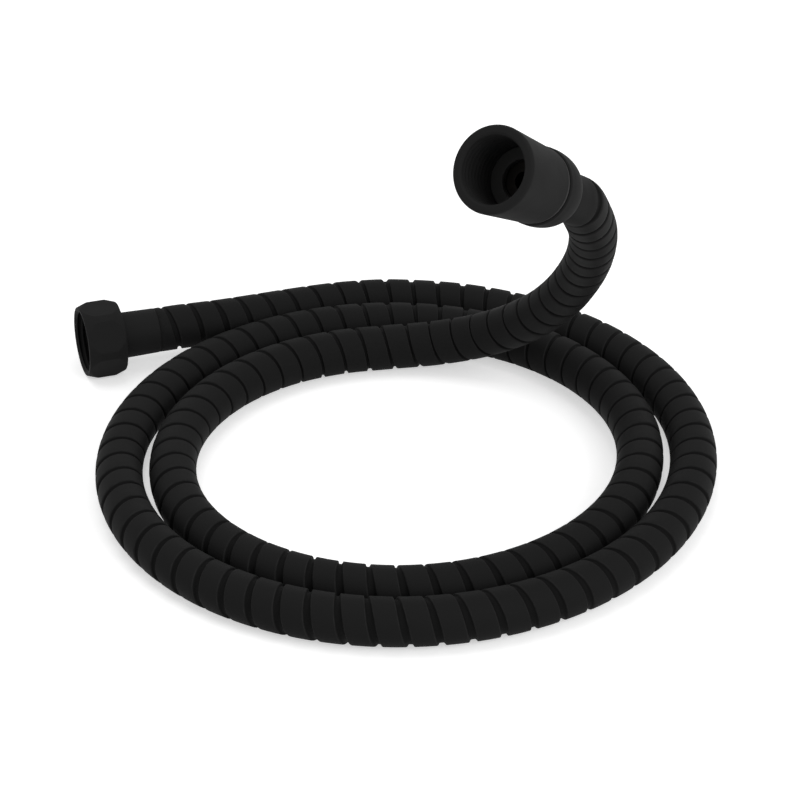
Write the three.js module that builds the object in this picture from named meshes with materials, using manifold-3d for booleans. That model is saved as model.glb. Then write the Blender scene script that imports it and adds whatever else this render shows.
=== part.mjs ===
// Stripwound metal shower hose, laid in a two-turn coil with one end standing up.
// Millimetres, +Z up. The hose lies on the plane z = 0, with the middle of its outline over the origin.
// One end carries a hexagonal union nut, the other a long conical one, both for a G1/2 pipe thread.
import * as THREE from "three";
import { mergeVertices } from "three/addons/utils/BufferGeometryUtils.js";
import Module from "manifold-3d";

const wasm = await Module();
wasm.setup();

// Clearances
const SEAT_GAP = 0.3; // between faces that rest on each other
const RUNNING_GAP = 0.3; // between a nut and what it turns on

// Hose
const CASING_RADIUS = 7.0;
const CASING_WALL = 0.7;
const INNER_HOSE_RADIUS = 5.3;
const INNER_HOSE_BORE = 4.0;
const CASING_SIDES = 12;
const INNER_HOSE_SIDES = 10;
const HOSE_STEPS = 72;

// Pipe thread G1/2, cut to its crests
const THREAD_BORE = 9.315;
const THREAD_ENTRY_RADIUS = 9.9;
const THREAD_ENTRY_DEPTH = 0.7;

// Hexagonal union nut
const HEX_ACROSS_FLATS = 22.0;
const HEX_CORNER_RADIUS = 12.05;
const HEX_NUT_LENGTH = 12.2;
const HEX_CHAMFER_WIDTH = 1.15;
const HEX_CHAMFER_LENGTH = 3.3;
const HEX_LIP = 2.3;

// Conical union nut and the collar behind it
const CONE_MOUTH_RADIUS = 11.85;
const CONE_TAIL_RADIUS = 10.65;
const CONE_LENGTH = 24.0;
const CONE_MOUTH_ROUND = 1.1;
const CONE_MOUTH_STEPS = 4;
const CONE_TAIL_CHAMFER = 0.35;
const CONE_LIP = 3.3;
const COLLAR_RADIUS = 10.95;
const COLLAR_LENGTH = 11.8;
const COLLAR_ROUND_LENGTH = 9.0;
const COLLAR_ROUND_HOLD = 6.75; // how far along the round its curve is drawn to the full radius
const COLLAR_ROUND_STEPS = 6;
const COLLAR_TAIL_RADIUS = 8.35;
const SLIP_RING_THICKNESS = 0.6;
const SLIP_RING_RECESS = 0.25;

// Flanged insert, sealing washer and ferrule of each end
const FLANGE_THICKNESS = 2.0;
const NECK_RADIUS = 6.6;
const STEM_RADIUS = 4.6;
const TAIL_LENGTH = 15.5;
const BARB_HEIGHT = 0.35;
const BARB_COUNT = 4;
const WATERWAY_RADIUS = 2.7;
const WASHER_THICKNESS = 2.0;
const WASHER_BORE = 5.4;
const FERRULE_HEAD_RADIUS = 7.25;
const HEX_FERRULE_HEAD_LENGTH = 11.1;
const CONE_FERRULE_HEAD_LENGTH = 9.1;
const FERRULE_LIP = 1.4;
const FERRULE_CHAMFER = 0.3;
const FERRULE_SKIRT_LENGTH = 5.0;
const HEX_SHOW_OF_NECK = 0.4; // bare neck between the nut and the ferrule
const CONE_FERRULE_SHOW = 1.0; // ferrule that stands out of the collar

// Route of the hose. The coil is a slightly oval spiral that closes up by one turn step a turn.
const COIL_CENTRE = new THREE.Vector2(2.71, -3.79);
const COIL_RADIUS = 95.1; // at a quarter turn from +X
const COIL_TURN_STEP = 15.9;
const COIL_OVAL = 1.9;
const COIL_OVAL_ANGLE = 79;
const COIL_FIRST_ANGLE = 90;
const COIL_LAST_ANGLE = -615;
const COIL_POINT_ANGLE = 15;
const HEX_END_HEADING = 18.3; // degrees from +X, from the nut into the hose
const HEX_END_OFFSET = new THREE.Vector2(-75.42, -27.01); // from the coil's first point
const STRAIGHT_START = 7;
// Across from the coil's first point, and up from the plane
const LEAD_IN = [
  [-56.65, -20.22, 10.25],
  [-49.58, -16.89, 9.66],
  [-42.24, -13.15, 8.98],
  [-33.36, -8.63, 8.17],
  [-24.40, -4.59, 7.50],
  [-14.84, -1.53, 7.09],
];
// Across from the coil's last point, and up from the plane
const RISER = [
  [15.16, 2.69, 7.2],
  [30.06, 1.99, 9.1],
  [43.56, -2.11, 14.0],
  [54.36, -8.91, 21.6],
  [62.36, -17.41, 31.0],
  [67.96, -26.61, 41.5],
  [71.56, -36.21, 52.4],
  [73.66, -46.31, 63.3],
  [74.26, -56.71, 74.0],
  [73.56, -67.41, 84.5],
  [71.16, -78.41, 94.7],
];
const CONE_END_OFFSET = new THREE.Vector3(61.56, -97.21, 110.8);
const CONE_AXIS = new THREE.Vector3(0.49, 0.692, -0.53).normalize(); // from the mouth into the hose
const STRAIGHT_END = 13;

const TURNED_SIDES = 42;
const HIDDEN_SIDES = 32;

// Finishes
const mattBlack = new THREE.MeshStandardMaterial({ color: 0x1c1c1d, roughness: 0.55, metalness: 0.6 });
const mattBlackFitting = new THREE.MeshStandardMaterial({ color: 0x232324, roughness: 0.5, metalness: 0.6 });
const blackenedBrass = new THREE.MeshStandardMaterial({ color: 0x262523, roughness: 0.45, metalness: 0.9 });
const blackRubber = new THREE.MeshStandardMaterial({ color: 0x141414, roughness: 0.85, metalness: 0.0 });
const innerRubber = new THREE.MeshStandardMaterial({ color: 0x1a1a1a, roughness: 0.8, metalness: 0.0 });
const slipPlastic = new THREE.MeshStandardMaterial({ color: 0x0d0d0d, roughness: 0.6, metalness: 0.0 });

// A turned piece: profile points are [radius, distance along the axis], and the axis is +Y.
function turned(points, sides) {
  const outline = points.map(([radius, along]) => new THREE.Vector2(radius, along));
  outline.push(outline[0].clone());
  return new THREE.LatheGeometry(outline, sides);
}

// A closed geometry as a solid that can be joined and cut.
function solidFrom(geometry) {
  const bare = new THREE.BufferGeometry();
  bare.setAttribute("position", geometry.getAttribute("position"));
  bare.setIndex(geometry.getIndex());
  const merged = mergeVertices(bare, 1e-4);
  return new wasm.Manifold(
    new wasm.Mesh({
      numProp: 3,
      vertProperties: merged.getAttribute("position").array,
      triVerts: new Uint32Array(merged.getIndex().array),
    }),
  );
}

function geometryFrom(solid) {
  const mesh = solid.getMesh();
  const geometry = new THREE.BufferGeometry();
  geometry.setAttribute("position", new THREE.BufferAttribute(new Float32Array(mesh.vertProperties), 3));
  geometry.setIndex(new THREE.BufferAttribute(new Uint32Array(mesh.triVerts), 1));
  geometry.computeVertexNormals();
  return geometry;
}

function piece(name, geometry, material) {
  const mesh = new THREE.Mesh(geometry, material);
  mesh.name = name;
  return mesh;
}

// A hexagonal bar along +Y, with one flat facing -Z and one facing +Z.
function hexagonalBar(acrossFlats, length) {
  const corner = acrossFlats / Math.sqrt(3);
  const outline = new THREE.Shape();
  for (let side = 0; side < 6; side++) {
    const angle = (side * Math.PI) / 3;
    const x = corner * Math.cos(angle);
    const y = corner * Math.sin(angle);
    if (side === 0) outline.moveTo(x, y);
    else outline.lineTo(x, y);
  }
  outline.closePath();
  const bar = new THREE.ExtrudeGeometry(outline, { depth: length, bevelEnabled: false });
  bar.rotateX(-Math.PI / 2);
  return bar;
}

// The threaded socket of a nut, from the lip's seat face out to the mouth at 0.
function socketProfile(seatDepth) {
  return [
    [THREAD_BORE, seatDepth],
    [THREAD_BORE, THREAD_ENTRY_DEPTH],
    [THREAD_ENTRY_RADIUS, 0],
  ];
}

// Radii that follow from what each piece goes into or over
const lipBore = NECK_RADIUS + RUNNING_GAP;
const flangeRadius = THREAD_BORE - RUNNING_GAP;
const barbRadius = INNER_HOSE_BORE - SEAT_GAP;
const barbRootRadius = barbRadius - BARB_HEIGHT;
const skirtRadius = CASING_RADIUS - CASING_WALL - SEAT_GAP;

// Distances along each fitting, from the mouth of its nut
const hexSeat = HEX_NUT_LENGTH - HEX_LIP;
const hexFerruleStart = HEX_NUT_LENGTH + HEX_SHOW_OF_NECK;
const coneSeat = CONE_LENGTH - CONE_LIP;
const slipRingStart = CONE_LENGTH + SEAT_GAP;
const collarStart = slipRingStart + SLIP_RING_THICKNESS + SEAT_GAP;
const collarEnd = collarStart + COLLAR_LENGTH;
const coneFerruleStart = collarEnd + CONE_FERRULE_SHOW - CONE_FERRULE_HEAD_LENGTH;
const hexCasingStart = hexFerruleStart + HEX_FERRULE_HEAD_LENGTH + SEAT_GAP;
const coneCasingStart = coneFerruleStart + CONE_FERRULE_HEAD_LENGTH + SEAT_GAP;

function hexNut() {
  const chamferRadius = HEX_CORNER_RADIUS - HEX_CHAMFER_WIDTH;
  const blank = turned(
    [
      ...socketProfile(hexSeat),
      [chamferRadius, 0],
      [HEX_CORNER_RADIUS, HEX_CHAMFER_LENGTH],
      [HEX_CORNER_RADIUS, HEX_NUT_LENGTH - HEX_CHAMFER_LENGTH],
      [chamferRadius, HEX_NUT_LENGTH],
      [lipBore, HEX_NUT_LENGTH],
      [lipBore, hexSeat],
    ],
    TURNED_SIDES,
  );
  const bar = hexagonalBar(HEX_ACROSS_FLATS, HEX_NUT_LENGTH);
  return geometryFrom(solidFrom(blank).intersect(solidFrom(bar)));
}

function coneNut() {
  const mouth = new THREE.QuadraticBezierCurve(
    new THREE.Vector2(CONE_MOUTH_RADIUS - CONE_MOUTH_ROUND, 0),
    new THREE.Vector2(CONE_MOUTH_RADIUS, 0),
    new THREE.Vector2(CONE_MOUTH_RADIUS, CONE_MOUTH_ROUND),
  );
  return turned(
    [
      ...socketProfile(coneSeat),
      ...mouth.getPoints(CONE_MOUTH_STEPS).map((point) => [point.x, point.y]),
      [CONE_TAIL_RADIUS, CONE_LENGTH - CONE_TAIL_CHAMFER],
      [CONE_TAIL_RADIUS - CONE_TAIL_CHAMFER, CONE_LENGTH],
      [lipBore, CONE_LENGTH],
      [lipBore, coneSeat],
    ],
    TURNED_SIDES,
  );
}

function slipRing() {
  const outer = CONE_TAIL_RADIUS - CONE_TAIL_CHAMFER - SLIP_RING_RECESS;
  const end = slipRingStart + SLIP_RING_THICKNESS;
  const section = [[lipBore, slipRingStart], [outer, slipRingStart], [outer, end], [lipBore, end]];
  return turned(section, TURNED_SIDES);
}

// The collar turns its round shoulder to the hose, and the ferrule goes into it from behind.
function collar() {
  const roundStart = collarEnd - COLLAR_ROUND_LENGTH;
  const shoulder = new THREE.QuadraticBezierCurve(
    new THREE.Vector2(COLLAR_RADIUS, roundStart),
    new THREE.Vector2(COLLAR_RADIUS - CONE_TAIL_CHAMFER, roundStart + COLLAR_ROUND_HOLD),
    new THREE.Vector2(COLLAR_TAIL_RADIUS, collarEnd),
  );
  const ferruleBore = FERRULE_HEAD_RADIUS + SEAT_GAP;
  const counterboreStart = coneFerruleStart - SEAT_GAP;
  return turned(
    [
      [lipBore, collarStart],
      [COLLAR_RADIUS - CONE_TAIL_CHAMFER, collarStart],
      [COLLAR_RADIUS, collarStart + CONE_TAIL_CHAMFER],
      ...shoulder.getPoints(COLLAR_ROUND_STEPS).map((point) => [point.x, point.y]),
      [ferruleBore, collarEnd],
      [ferruleBore, counterboreStart],
      [lipBore, counterboreStart],
    ],
    TURNED_SIDES,
  );
}

// Flange, neck through the nut, stem in the ferrule's lip, and a barbed tail in the inner hose.
function insert(seatDepth, ferruleStart) {
  const flangeEnd = seatDepth - SEAT_GAP;
  const neckEnd = ferruleStart - SEAT_GAP;
  const stemEnd = ferruleStart + FERRULE_LIP;
  const barbLength = TAIL_LENGTH / BARB_COUNT;
  const barbs = [];
  for (let barb = 0; barb < BARB_COUNT; barb++) {
    const start = stemEnd + barb * barbLength;
    barbs.push([barbRootRadius, start]);
    barbs.push([barbRadius, start]);
  }
  const tailEnd = stemEnd + TAIL_LENGTH;
  return turned(
    [
      [WATERWAY_RADIUS, flangeEnd - FLANGE_THICKNESS],
      [flangeRadius, flangeEnd - FLANGE_THICKNESS],
      [flangeRadius, flangeEnd],
      [NECK_RADIUS, flangeEnd],
      [NECK_RADIUS, neckEnd],
      [STEM_RADIUS, neckEnd],
      [STEM_RADIUS, stemEnd],
      ...barbs.slice(1),
      [barbRootRadius, tailEnd],
      [WATERWAY_RADIUS, tailEnd],
    ],
    HIDDEN_SIDES,
  );
}

function washer(seatDepth) {
  const end = seatDepth - SEAT_GAP - FLANGE_THICKNESS - SEAT_GAP;
  const start = end - WASHER_THICKNESS;
  const section = [[WASHER_BORE, start], [flangeRadius, start], [flangeRadius, end], [WASHER_BORE, end]];
  return turned(section, HIDDEN_SIDES);
}

// A sleeve whose head butts against the casing and whose thin skirt goes inside it.
function ferrule(start, headLength) {
  const headEnd = start + headLength;
  const skirtEnd = headEnd + FERRULE_SKIRT_LENGTH;
  const bore = INNER_HOSE_RADIUS + SEAT_GAP;
  return turned(
    [
      [STEM_RADIUS + SEAT_GAP, start],
      [FERRULE_HEAD_RADIUS - FERRULE_CHAMFER, start],
      [FERRULE_HEAD_RADIUS, start + FERRULE_CHAMFER],
      [CASING_RADIUS, headEnd],
      [skirtRadius, headEnd],
      [skirtRadius, skirtEnd],
      [bore, skirtEnd],
      [bore, start + FERRULE_LIP],
      [STEM_RADIUS + SEAT_GAP, start + FERRULE_LIP],
    ],
    TURNED_SIDES,
  );
}

function coilPoint(angle) {
  const turns = (COIL_FIRST_ANGLE - angle) / 360;
  const oval = COIL_OVAL * Math.cos(THREE.MathUtils.degToRad(2 * (angle - COIL_OVAL_ANGLE)));
  const radius = COIL_RADIUS - COIL_TURN_STEP * turns + oval;
  const heading = THREE.MathUtils.degToRad(angle);
  const x = COIL_CENTRE.x + radius * Math.cos(heading);
  const y = COIL_CENTRE.y + radius * Math.sin(heading);
  return new THREE.Vector3(x, y, CASING_RADIUS);
}

// Points of the coil, clockwise from above.
function coilPoints() {
  const points = [];
  for (let angle = COIL_FIRST_ANGLE; angle >= COIL_LAST_ANGLE; angle -= COIL_POINT_ANGLE) {
    points.push(coilPoint(angle));
  }
  return points;
}

// A point given across from one end of the coil and up from the plane.
function besideCoil(coilEnd, [across, along, height]) {
  return new THREE.Vector3(coilEnd.x + across, coilEnd.y + along, height);
}

const coilFirst = coilPoint(COIL_FIRST_ANGLE);
const coilLast = coilPoint(COIL_LAST_ANGLE);

const hexHeading = THREE.MathUtils.degToRad(HEX_END_HEADING);
const hexAxis = new THREE.Vector3(Math.cos(hexHeading), Math.sin(hexHeading), 0);
const hexEndPoint = besideCoil(coilFirst, [HEX_END_OFFSET.x, HEX_END_OFFSET.y, HEX_ACROSS_FLATS / 2]);
const coneEndPoint = besideCoil(coilLast, CONE_END_OFFSET.toArray());

// The route from casing end to casing end, lengthened by a distance of its own at each end.
function route(hexExtra, coneExtra) {
  return new THREE.CatmullRomCurve3([
    hexEndPoint.clone().addScaledVector(hexAxis, -hexExtra),
    hexEndPoint.clone().addScaledVector(hexAxis, STRAIGHT_START / 2),
    hexEndPoint.clone().addScaledVector(hexAxis, STRAIGHT_START),
    ...LEAD_IN.map((offset) => besideCoil(coilFirst, offset)),
    ...coilPoints(),
    ...RISER.map((offset) => besideCoil(coilLast, offset)),
    coneEndPoint.clone().addScaledVector(CONE_AXIS, STRAIGHT_END),
    coneEndPoint.clone().addScaledVector(CONE_AXIS, STRAIGHT_END / 2),
    coneEndPoint.clone().addScaledVector(CONE_AXIS, -coneExtra),
  ]);
}

// A hollow tube. Its outside is inscribed in the true circle, and its bore is drawn round the true one.
function tube(path, radius, bore, sides) {
  const ring = (size) => {
    const corners = [];
    for (let side = 0; side < sides; side++) {
      const angle = ((side + 0.5) * 2 * Math.PI) / sides;
      corners.push(new THREE.Vector2(size * Math.cos(angle), size * Math.sin(angle)));
    }
    return corners;
  };
  const section = new THREE.Shape(ring(radius));
  section.holes.push(new THREE.Path(ring(bore / Math.cos(Math.PI / sides))));
  return new THREE.ExtrudeGeometry(section, { steps: HOSE_STEPS, extrudePath: path, bevelEnabled: false });
}

// A fitting is built along +Y from its nut's mouth, then turned to lie along the hose.
function placedFitting(pieces, axis, casingEnd, casingStart) {
  const group = new THREE.Group();
  group.add(...pieces);
  group.quaternion.setFromUnitVectors(new THREE.Vector3(0, 1, 0), axis);
  group.position.copy(casingEnd).addScaledVector(axis, -casingStart);
  return group;
}

const casingRoute = route(0, 0);
const innerRoute = route(HEX_FERRULE_HEAD_LENGTH - FERRULE_LIP, CONE_FERRULE_HEAD_LENGTH - FERRULE_LIP);
const casingTube = tube(casingRoute, CASING_RADIUS, CASING_RADIUS - CASING_WALL, CASING_SIDES);
const innerTube = tube(innerRoute, INNER_HOSE_RADIUS, INNER_HOSE_BORE, INNER_HOSE_SIDES);
const hose = new THREE.Group();
hose.add(piece("hose_casing", casingTube, mattBlack), piece("inner_hose", innerTube, innerRubber));

const hexEnd = placedFitting(
  [
    piece("hex_nut", hexNut(), mattBlackFitting),
    piece("hex_end_washer", washer(hexSeat), blackRubber),
    piece("hex_end_insert", insert(hexSeat, hexFerruleStart), blackenedBrass),
    piece("hex_end_ferrule", ferrule(hexFerruleStart, HEX_FERRULE_HEAD_LENGTH), mattBlackFitting),
  ],
  hexAxis,
  hexEndPoint,
  hexCasingStart,
);

const coneEnd = placedFitting(
  [
    piece("cone_nut", coneNut(), mattBlackFitting),
    piece("cone_slip_ring", slipRing(), slipPlastic),
    piece("cone_collar", collar(), mattBlackFitting),
    piece("cone_end_washer", washer(coneSeat), blackRubber),
    piece("cone_end_insert", insert(coneSeat, coneFerruleStart), blackenedBrass),
    piece("cone_end_ferrule", ferrule(coneFerruleStart, CONE_FERRULE_HEAD_LENGTH), mattBlackFitting),
  ],
  CONE_AXIS,
  coneEndPoint,
  coneCasingStart,
);

const showerHose = new THREE.Group();
showerHose.name = "shower_hose";
showerHose.add(hose, hexEnd, coneEnd);

export default showerHose;
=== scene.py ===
"""A matt black stripwound shower hose, in almost two turns on the floor with one end standing up.

Every shape is built in the row frame, in metres. A fitting is first laid out along its own
axis, from the mouth of its nut at 0, and then placed on the end of the hose.
"""

import logging
import math
from dataclasses import dataclass
from enum import Enum
from typing import Any, Callable, Sequence

import bpy
import numpy as np
from mathutils import Matrix, Vector


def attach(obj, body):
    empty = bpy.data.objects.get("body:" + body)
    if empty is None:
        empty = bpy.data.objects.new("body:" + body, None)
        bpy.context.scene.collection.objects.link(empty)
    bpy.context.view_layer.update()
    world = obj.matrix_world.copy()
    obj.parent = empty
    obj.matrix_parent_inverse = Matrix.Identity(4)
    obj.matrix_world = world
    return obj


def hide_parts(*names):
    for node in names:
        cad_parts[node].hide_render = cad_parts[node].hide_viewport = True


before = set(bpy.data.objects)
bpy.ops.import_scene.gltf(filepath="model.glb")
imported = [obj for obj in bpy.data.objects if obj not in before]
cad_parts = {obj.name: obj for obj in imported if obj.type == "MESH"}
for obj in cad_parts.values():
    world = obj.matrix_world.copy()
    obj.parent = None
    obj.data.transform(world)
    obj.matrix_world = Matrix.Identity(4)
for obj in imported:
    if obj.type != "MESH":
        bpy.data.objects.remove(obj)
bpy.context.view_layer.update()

log = logging.getLogger("shower_hose")

MM = 0.001
SEAM = "seam"  # how deep in the seam of the wound strip a vertex lies, from 0 to 1
WHITE = (1.0, 1.0, 1.0, 1.0)


class HoseEnd(Enum):
    """The two ends of the hose."""

    HEX = "hex"
    CONE = "cone"


# Helpers


def linear(hex_colour: str) -> tuple[float, float, float, float]:
    """Turns an sRGB hex colour into Blender's linear colour.

    Args:
        hex_colour: The colour, such as "#1c1c1d".

    Returns:
        Linear red, green, blue and an alpha of 1.
    """
    channels = [int(hex_colour[place : place + 2], 16) / 255 for place in (1, 3, 5)]
    light = [c / 12.92 if c <= 0.04045 else ((c + 0.055) / 1.055) ** 2.4 for c in channels]
    return (light[0], light[1], light[2], 1.0)


def add_node(
    tree: bpy.types.NodeTree,
    kind: str,
    settings: dict[str, Any] | None = None,
    inputs: dict[int | str, Any] | None = None,
) -> bpy.types.Node:
    """Adds a shader node, sets it up and links it.

    Args:
        tree: The node tree that gets the node.
        kind: The node's type name.
        settings: Properties of the node.
        inputs: A value or an output socket for each named or numbered input.

    Returns:
        The new node.
    """
    node = tree.nodes.new(kind)
    for name, value in (settings or {}).items():
        setattr(node, name, value)
    for name, value in (inputs or {}).items():
        if isinstance(value, bpy.types.NodeSocket):
            tree.links.new(value, node.inputs[name])
        else:
            node.inputs[name].default_value = value
    return node


def seen_directly(tree: bpy.types.NodeTree) -> bpy.types.NodeSocket:
    """Tells the rays that show a background from those that light the hose.

    Args:
        tree: The node tree of the background's material or of the world.

    Returns:
        A socket that is 1 for the camera, for reflections and through clear pieces, and else 0.
    """
    rays = add_node(tree, "ShaderNodeLightPath").outputs
    seen = rays["Is Camera Ray"]
    for kind in ("Is Glossy Ray", "Is Transmission Ray"):
        larger = add_node(tree, "ShaderNodeMath", {"operation": "MAXIMUM"}, {0: seen, 1: rays[kind]})
        seen = larger.outputs[0]
    return seen


def new_material(name: str) -> bpy.types.Material:
    """Makes an empty node material.

    Args:
        name: The material's name.

    Returns:
        The material, with no nodes in its tree.
    """
    material = bpy.data.materials.new(name)
    material.use_nodes = True
    material.node_tree.nodes.clear()
    return material


@dataclass
class Sketch:
    """Vertices and faces of one mesh, gathered before it is made."""

    name: str

    def __post_init__(self) -> None:
        """Starts with no vertices, no faces and no marked vertices."""
        self.vertices: list[tuple[float, float, float]] = []
        self.faces: list[tuple[int, ...]] = []
        self.marks: dict[int, float] = {}

    def ring(self, points: Sequence[Sequence[float]]) -> list[int]:
        """Adds one closed ring of vertices.

        Args:
            points: Their places.

        Returns:
            Their numbers.
        """
        first = len(self.vertices)
        self.vertices.extend((float(x), float(y), float(z)) for x, y, z in points)
        return list(range(first, len(self.vertices)))

    def bridge(self, one: Sequence[int], two: Sequence[int]) -> None:
        """Joins two rings with a band of quads.

        Args:
            one: The first ring's vertex numbers.
            two: The second ring's, as many.
        """
        count = len(one)
        for here in range(count):
            after = (here + 1) % count
            self.faces.append((one[here], one[after], two[after], two[here]))

    def bridge_all(self, rings: Sequence[Sequence[int]], closed: bool = False) -> None:
        """Joins each ring to the next one.

        Args:
            rings: The rings' vertex numbers.
            closed: Whether the last ring is joined to the first one too.
        """
        for one, two in zip(rings, rings[1:]):
            self.bridge(one, two)
        if closed:
            self.bridge(rings[-1], rings[0])

    def to_object(self, material: bpy.types.Material, weighted: bool = True) -> bpy.types.Object:
        """Makes the object, with its normals facing out and its faces smooth.

        Args:
            material: The finish of the whole piece.
            weighted: Whether broad faces keep their own normals beside narrow ones.

        Returns:
            The new object, linked to the scene.
        """
        mesh = bpy.data.meshes.new(self.name)
        mesh.from_pydata(self.vertices, [], self.faces)
        if self.marks:
            seam = mesh.attributes.new(SEAM, "FLOAT", "POINT")
            values = [self.marks.get(number, 0.0) for number in range(len(self.vertices))]
            seam.data.foreach_set("value", values)
        mesh.validate()
        mesh.materials.append(material)
        mesh.shade_smooth()
        made = bpy.data.objects.new(self.name, mesh)
        bpy.context.scene.collection.objects.link(made)
        if weighted:
            made.modifiers.new("weighted_normals", "WEIGHTED_NORMAL").keep_sharp = False
        return made


def filleted(
    profile: Sequence[tuple[float, float]], radius: float, steps: int = 3, side_share: float = 0.4
) -> list[tuple[float, float]]:
    """Rounds every corner of a closed profile.

    Args:
        profile: Corners as (station, radius from the axis).
        radius: Rounding radius, cut down at short sides.
        steps: Spans in each rounded corner.
        side_share: The most that a corner takes of either side.

    Returns:
        The rounded profile, in the same order.
    """
    rounded: list[tuple[float, float]] = []
    count = len(profile)
    for here in range(count):
        before, corner, after = (Vector(profile[(here + step) % count]) for step in (-1, 0, 1))
        back, ahead = before - corner, after - corner
        reach = min(radius, side_share * back.length, side_share * ahead.length)
        start, end = corner + back.normalized() * reach, corner + ahead.normalized() * reach
        for step in range(steps + 1):
            t = step / steps
            point = start * (1 - t) ** 2 + corner * (2 * t * (1 - t)) + end * t**2
            rounded.append((point.x, point.y))
    return rounded


# Route of the hose


@dataclass(frozen=True)
class HoseRoute:
    """The centreline of the casing, from the hexagonal end to the conical end.

    The hexagonal end and the lead-in are given across from the coil's first point, the riser and
    the conical end across from its last one, and all of them up from the floor. Lengths are in
    millimetres and angles in degrees.
    """

    coil_centre: tuple[float, float] = (2.71, -3.79)
    coil_radius: float = 95.1
    coil_turn_step: float = 15.9
    coil_oval: float = 1.9
    coil_oval_angle: float = 79.0
    coil_first_angle: int = 90
    coil_last_angle: int = -615
    coil_point_angle: int = 15
    coil_height: float = 7.0
    hex_heading: float = 18.3
    hex_end: tuple[float, float, float] = (-75.42, -27.01, 11.0)
    straight_start: float = 7.0
    lead_in: tuple[tuple[float, float, float], ...] = (
        (-56.65, -20.22, 10.25),
        (-49.58, -16.89, 9.66),
        (-42.24, -13.15, 8.98),
        (-33.36, -8.63, 8.17),
        (-24.40, -4.59, 7.50),
        (-14.84, -1.53, 7.09),
    )
    riser: tuple[tuple[float, float, float], ...] = (
        (15.16, 2.69, 7.2),
        (30.06, 1.99, 9.1),
        (43.56, -2.11, 14.0),
        (54.36, -8.91, 21.6),
        (62.36, -17.41, 31.0),
        (67.96, -26.61, 41.5),
        (71.56, -36.21, 52.4),
        (73.66, -46.31, 63.3),
        (74.26, -56.71, 74.0),
        (73.56, -67.41, 84.5),
        (71.16, -78.41, 94.7),
    )
    cone_end: tuple[float, float, float] = (61.56, -97.21, 110.8)
    cone_direction: tuple[float, float, float] = (0.49, 0.692, -0.53)
    straight_end: float = 13.0
    samples_a_span: int = 48

    def axis(self, end: HoseEnd) -> Vector:
        """Finds the direction of one end.

        Args:
            end: Which end.

        Returns:
            A unit vector from the mouth of the nut into the hose.
        """
        heading = math.radians(self.hex_heading)
        if end is HoseEnd.HEX:
            return Vector((math.cos(heading), math.sin(heading), 0.0))
        return Vector(self.cone_direction).normalized()

    def coil_point(self, angle: float) -> Vector:
        """Finds one point of the coil, whose turns shrink on the way inward.

        Args:
            angle: Its angle round the coil's centre.

        Returns:
            The point, in millimetres.
        """
        turns = (self.coil_first_angle - angle) / 360
        oval = self.coil_oval * math.cos(math.radians(2 * (angle - self.coil_oval_angle)))
        radius = self.coil_radius - self.coil_turn_step * turns + oval
        x = self.coil_centre[0] + radius * math.cos(math.radians(angle))
        y = self.coil_centre[1] + radius * math.sin(math.radians(angle))
        return Vector((x, y, self.coil_height))

    def coil(self) -> list[Vector]:
        """Points of the flat coil, clockwise from above."""
        angles = range(self.coil_first_angle, self.coil_last_angle - 1, -self.coil_point_angle)
        return [self.coil_point(angle) for angle in angles]

    def beside_coil(self, end: HoseEnd, offset: Sequence[float]) -> Vector:
        """Finds a point that is given by its offset.

        Args:
            end: The end of the hose on whose side it lies.
            offset: Its distances across from the coil's end there, and its height over the floor.

        Returns:
            The point, in millimetres.
        """
        angle = self.coil_first_angle if end is HoseEnd.HEX else self.coil_last_angle
        beside = self.coil_point(angle)
        return Vector((beside.x + offset[0], beside.y + offset[1], offset[2]))

    def end_point(self, end: HoseEnd) -> Vector:
        """Where the casing ends, in millimetres."""
        return self.beside_coil(end, self.hex_end if end is HoseEnd.HEX else self.cone_end)

    def points(self) -> list[Vector]:
        """Gathers the points that the spline goes through.

        Returns:
            All of them from the hexagonal end to the conical end, in millimetres.
        """
        hex_end, hex_axis = self.end_point(HoseEnd.HEX), self.axis(HoseEnd.HEX)
        cone_end, cone_axis = self.end_point(HoseEnd.CONE), self.axis(HoseEnd.CONE)
        return [
            hex_end,
            hex_end + hex_axis * self.straight_start / 2,
            hex_end + hex_axis * self.straight_start,
            *(self.beside_coil(HoseEnd.HEX, offset) for offset in self.lead_in),
            *self.coil(),
            *(self.beside_coil(HoseEnd.CONE, offset) for offset in self.riser),
            cone_end + cone_axis * self.straight_end,
            cone_end + cone_axis * self.straight_end / 2,
            cone_end,
        ]

    def spline(self) -> np.ndarray:
        """Samples a centripetal Catmull-Rom spline through the points.

        Returns:
            An array of points, in metres.
        """
        points = [np.array(point) * MM for point in self.points()]
        points = [2 * points[0] - points[1], *points, 2 * points[-1] - points[-2]]
        samples = []
        for p0, p1, p2, p3 in zip(points, points[1:], points[2:], points[3:]):
            d0, d1, d2 = (math.sqrt(np.linalg.norm(b - a)) for a, b in ((p0, p1), (p1, p2), (p2, p3)))
            t1 = ((p1 - p0) / d0 - (p2 - p0) / (d0 + d1) + (p2 - p1) / d1) * d1
            t2 = ((p2 - p1) / d1 - (p3 - p1) / (d1 + d2) + (p3 - p2) / d2) * d1
            t = np.linspace(0, 1, self.samples_a_span, endpoint=False)[:, None]
            cubic = p1 + t1 * t + (-3 * p1 + 3 * p2 - 2 * t1 - t2) * t**2
            samples.append(cubic + (2 * p1 - 2 * p2 + t1 + t2) * t**3)
        samples.append(points[-2][None, :])
        return np.concatenate(samples)


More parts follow.
